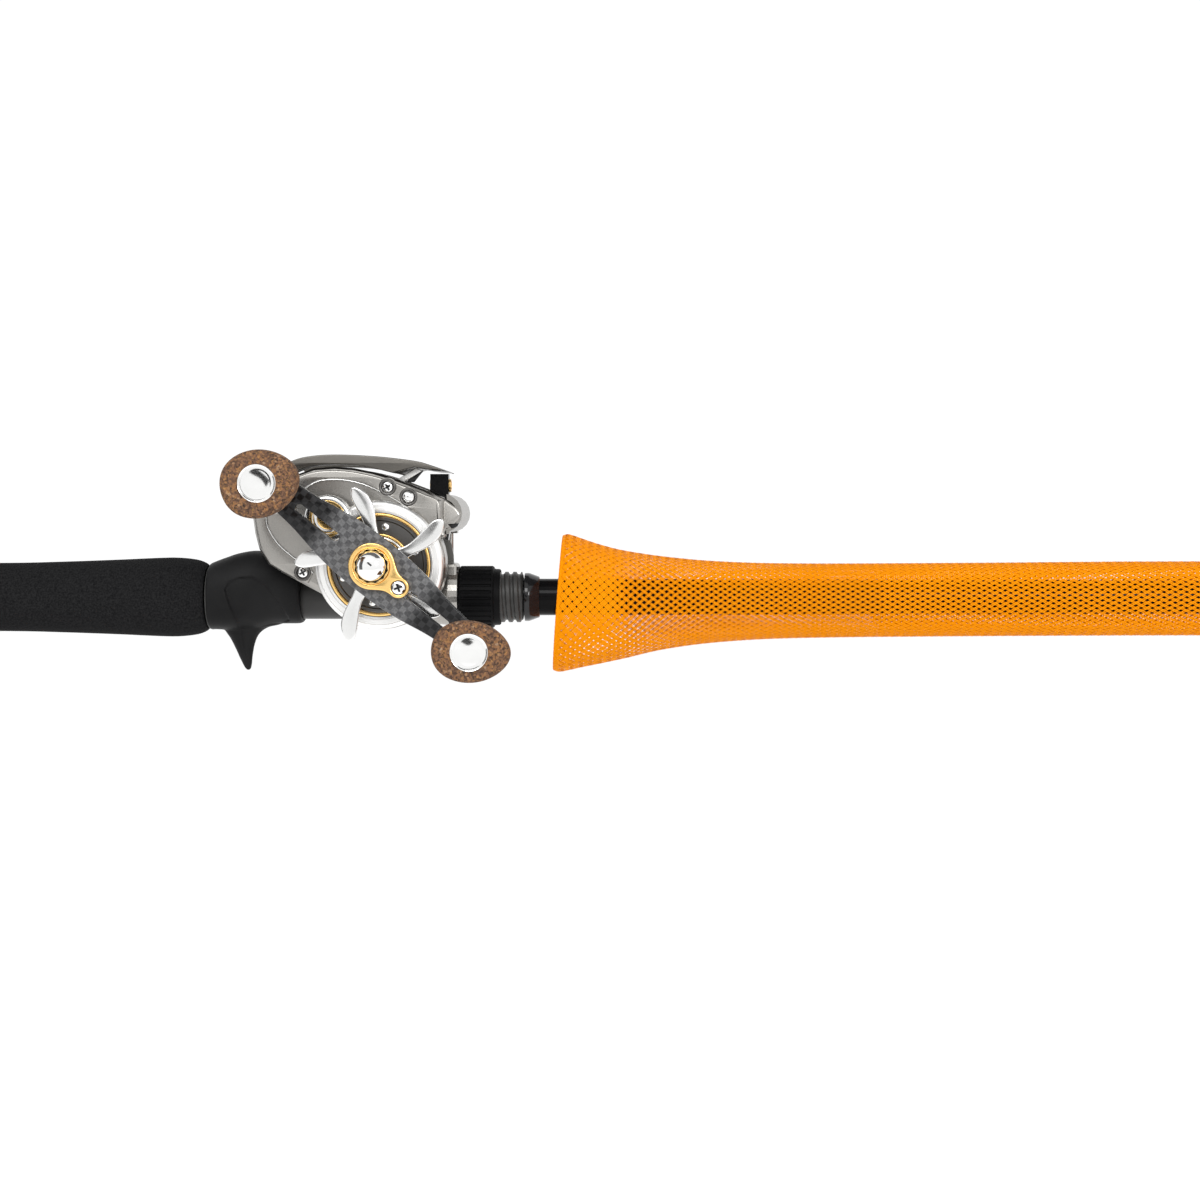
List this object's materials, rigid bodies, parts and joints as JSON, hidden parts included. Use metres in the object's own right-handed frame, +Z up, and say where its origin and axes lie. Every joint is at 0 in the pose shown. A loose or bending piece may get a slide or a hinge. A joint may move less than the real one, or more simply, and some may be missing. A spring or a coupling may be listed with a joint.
{
  "type": "baitcasting rod and reel",
  "caption": "Baitcasting fishing rod with a trigger grip and low-profile reel, its blank and guides inside a braided mesh sleeve with a flared mouth.",
  "frame": {"origin": "centre of the butt cap's flat end face", "axes": "+X along the rod to its tip, +Z up with the reel on top and the trigger below, -Y towards the handle side"},
  "size_m": [2.0535, 0.1002, 0.0775],
  "materials": {
    "foam": "matt fine-pored foam",
    "blank": "gloss clear coat over dark graphite",
    "seat": "soft-touch matt",
    "barrel": "satin graphite-filled nylon",
    "silver": "satin pewter",
    "steel": "polished",
    "chrome": "polished",
    "gold": "gold anodised",
    "brass": "machined",
    "carbon": "woven carbon under clear coat",
    "cork": "rubberised cork, matt",
    "orange": "braided plastic mesh",
    "nylon": "moulded nylon"
  },
  "bodies": {
    "rod_and_frame": {"butt_cap": "foam", "rear_grip": "foam", "rod_blank": "blank", "reel_seat": "seat", "winding_check": "seat", "seat_barrel": "barrel", "drag_well_plate": "barrel", "reel_foot": "silver", "reel_frame": "silver", "frame_cowl": "silver", "gear_side_cover": "silver", "palm_side_cover": "silver", "tip_top": "steel", "cover_screw_front": "steel", "cover_screw_rear": "steel", "lube_port_cap": "steel", "spool_bearing_palm": "steel", "spool_bearing_gear": "steel", "clutch_bearing": "steel", "guide_pillar": "steel", "guide_1": "steel", "guide_2": "steel", "guide_3": "steel", "guide_4": "steel", "guide_5": "steel", "guide_6": "steel", "guide_7": "steel", "guide_8": "steel", "drag_trim_ring": "gold"},
    "drive": {"drive_shaft": "steel", "main_gear": "brass", "shaft_gear": "nylon", "ratchet": "steel", "drag_washer": "carbon", "pressure_plate": "steel", "handle_arm": "carbon", "handle_nut": "chrome", "nut_retainer": "gold", "retainer_screw": "steel", "knob_spindle_upper": "steel", "knob_spindle_lower": "steel"},
    "star_drag": {"star_drag": "chrome"},
    "knob_upper": {"knob_upper": "cork", "knob_cap_upper": "chrome"},
    "knob_lower": {"knob_lower": "cork", "knob_cap_lower": "chrome"},
    "spool": {"spool": "silver", "spool_shaft": "steel", "pinion_gear": "brass"},
    "idler": {"idler_gear": "nylon"},
    "worm": {"worm_shaft": "steel"},
    "line_guide": {"line_guide": "seat", "line_guide_insert": "gold"},
    "thumb_bar": {"thumb_bar": "barrel"},
    "cast_control": {"cast_control_cap": "chrome"},
    "brake_dial": {"brake_dial": "barrel"},
    "front_hood": {"front_hood": "silver"},
    "lock_nut": {"lock_nut": "seat"},
    "sleeve": {"sleeve": "orange", "sleeve_plug": "seat"}
  },
  "joints": [
    {"name": "handle_spin", "type": "hinge", "parent": "rod_and_frame", "child": "drive", "pos_m": [0.296, 0, 0.0123], "axis": [0, -1, 0], "continuous": true},
    {"name": "spool_spin", "type": "hinge", "parent": "rod_and_frame", "child": "spool", "pos_m": [0.27932, 0, 0.02813], "axis": [0, -1, 0], "continuous": true},
    {"name": "idler_spin", "type": "hinge", "parent": "rod_and_frame", "child": "idler", "pos_m": [0.30487, 0, 0.02181], "axis": [0, -1, 0], "continuous": true},
    {"name": "worm_spin", "type": "hinge", "parent": "rod_and_frame", "child": "worm", "pos_m": [0.31203, 0, 0.02949], "axis": [0, -1, 0], "continuous": true},
    {"name": "star_drag_turn", "type": "hinge", "parent": "drive", "child": "star_drag", "pos_m": [0.296, 0, 0.0123], "axis": [0, -1, 0], "range_deg": [-360, 360]},
    {"name": "knob_upper_spin", "type": "hinge", "parent": "drive", "child": "knob_upper", "pos_m": [0.26213, 0, 0.03944], "axis": [0, -1, 0], "continuous": true},
    {"name": "knob_lower_spin", "type": "hinge", "parent": "drive", "child": "knob_lower", "pos_m": [0.32987, 0, -0.01484], "axis": [0, -1, 0], "continuous": true},
    {"name": "line_guide_travel", "type": "slide", "parent": "rod_and_frame", "child": "line_guide", "axis": [0, 1, 0], "range_m": [-0.0094, 0.0094]},
    {"name": "thumb_bar_press", "type": "slide", "parent": "rod_and_frame", "child": "thumb_bar", "axis": [0, 0, -1], "range_m": [0, 0.0045], "stiffness_N_per_m": 300, "springref_m": -0.002},
    {"name": "cast_control_turn", "type": "hinge", "parent": "rod_and_frame", "child": "cast_control", "pos_m": [0.27932, 0, 0.02813], "axis": [0, -1, 0], "range_deg": [-360, 540]},
    {"name": "brake_dial_turn", "type": "hinge", "parent": "rod_and_frame", "child": "brake_dial", "pos_m": [0.27932, 0, 0.02813], "axis": [0, -1, 0], "range_deg": [0, 270]},
    {"name": "hood_slide", "type": "slide", "parent": "rod_and_frame", "child": "front_hood", "axis": [1, 0, 0], "range_m": [0, 0.0072]},
    {"name": "nut_turn", "type": "hinge", "parent": "front_hood", "child": "lock_nut", "pos_m": [0.3216, 0, 0], "axis": [1, 0, 0], "range_deg": [0, 900]},
    {"name": "sleeve_slide", "type": "slide", "parent": "rod_and_frame", "child": "sleeve", "axis": [1, 0, 0], "range_m": [0, 1.7]}
  ],
  "couplings": [
    {"joint": "spool_spin", "follows": "handle_spin", "ratio": -6.6667},
    {"joint": "idler_spin", "follows": "handle_spin", "ratio": -0.85714},
    {"joint": "worm_spin", "follows": "handle_spin", "ratio": 1.7143},
    {"joint": "nut_turn", "follows": "hood_slide", "rad_per_m": 2166.6}
  ]
}
